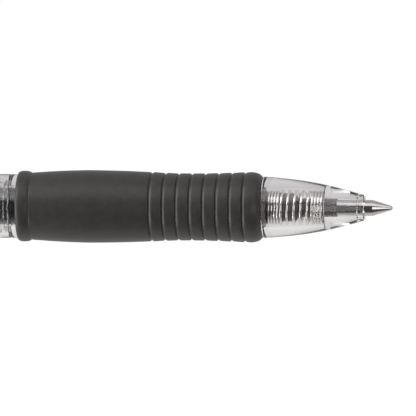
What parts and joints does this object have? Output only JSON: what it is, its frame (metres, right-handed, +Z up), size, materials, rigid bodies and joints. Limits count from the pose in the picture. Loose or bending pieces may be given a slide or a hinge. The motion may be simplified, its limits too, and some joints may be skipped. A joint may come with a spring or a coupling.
{
  "type": "gel pen",
  "caption": "retractable gel pen with a clear barrel and nose cone, ribbed black rubber grip, sprung refill, click mechanism, push button and pocket clip",
  "frame": {"origin": "centre of the bounding box's footprint on the desk, with the pen lying flat and its point out", "axes": "+X runs along the pen to its writing point, +Z is up through the clip, +Y completes the hand"},
  "size_m": [0.144, 0.0119, 0.0143],
  "materials": {
    "clear_shell": "clear gloss",
    "clear_nose": "clear gloss",
    "grip_rubber": "matte",
    "black_trim": "satin",
    "white_cam": "satin",
    "black_clip": "gloss",
    "black_button": "satin",
    "white_plunger": "satin",
    "white_rotor": "satin",
    "spring_steel": "drawn wire",
    "refill_plastic": "clear satin",
    "ink": "wet",
    "grease": "translucent gel",
    "tail_plastic": "satin",
    "black_holder": "satin",
    "nickel_silver": "turned metal",
    "ball_carbide": "polished",
    "fine_steel": "fine wire"
  },
  "bodies": {
    "rear_section": {"barrel": "clear_shell", "rear_housing": "black_trim", "cam_guide": "white_cam"},
    "spring": {"return_spring": "spring_steel"},
    "front_section": {"front_barrel": "clear_nose", "rubber_grip": "grip_rubber"},
    "refill": {"refill_tube": "refill_plastic", "ink_column": "ink", "follower_grease": "grease", "refill_tail_plug": "tail_plastic", "tip_holder": "black_holder", "metal_tip": "nickel_silver", "tip_spring": "fine_steel"},
    "ball": {"writing_ball": "ball_carbide"},
    "button": {"push_button": "black_button", "cam_plunger": "white_plunger"},
    "cam_rotor": {"rotor": "white_rotor"},
    "pocket_clip": {"clip": "black_clip"}
  },
  "joints": [
    {"name": "button_press", "type": "slide", "parent": "rear_section", "child": "button", "axis": [1, 0, 0], "range_m": [-0.005, 0.0012]},
    {"name": "rotor_turn", "type": "hinge", "parent": "button", "child": "cam_rotor", "pos_m": [0.06742, 0, 0.00595], "axis": [1, 0, 0], "range_deg": [0, 45]},
    {"name": "front_advance", "type": "slide", "parent": "rear_section", "child": "spring", "axis": [1, 0, 0], "range_m": [0, 0.006]},
    {"name": "front_unscrew", "type": "hinge", "parent": "spring", "child": "front_section", "pos_m": [0.06742, 0, 0.00595], "axis": [1, 0, 0], "range_deg": [0, 1440]},
    {"name": "refill_slide", "type": "slide", "parent": "spring", "child": "refill", "axis": [1, 0, 0], "range_m": [-0.005, 0.0012], "deforming": ["return_spring"]},
    {"name": "ball_roll", "type": "hinge", "parent": "refill", "child": "ball", "pos_m": [0.07164, 0, 0.00595], "axis": [0, 1, 0], "continuous": true},
    {"name": "clip_flex", "type": "hinge", "parent": "rear_section", "child": "pocket_clip", "pos_m": [-0.05858, 0, 0.01315], "axis": [0, -1, 0], "range_deg": [0, 4], "stiffness_Nm_per_rad": 1.2}
  ],
  "couplings": [
    {"joint": "refill_slide", "follows": "button_press", "ratio": 1},
    {"joint": "front_unscrew", "follows": "front_advance", "rad_per_m": 4188.8}
  ]
}
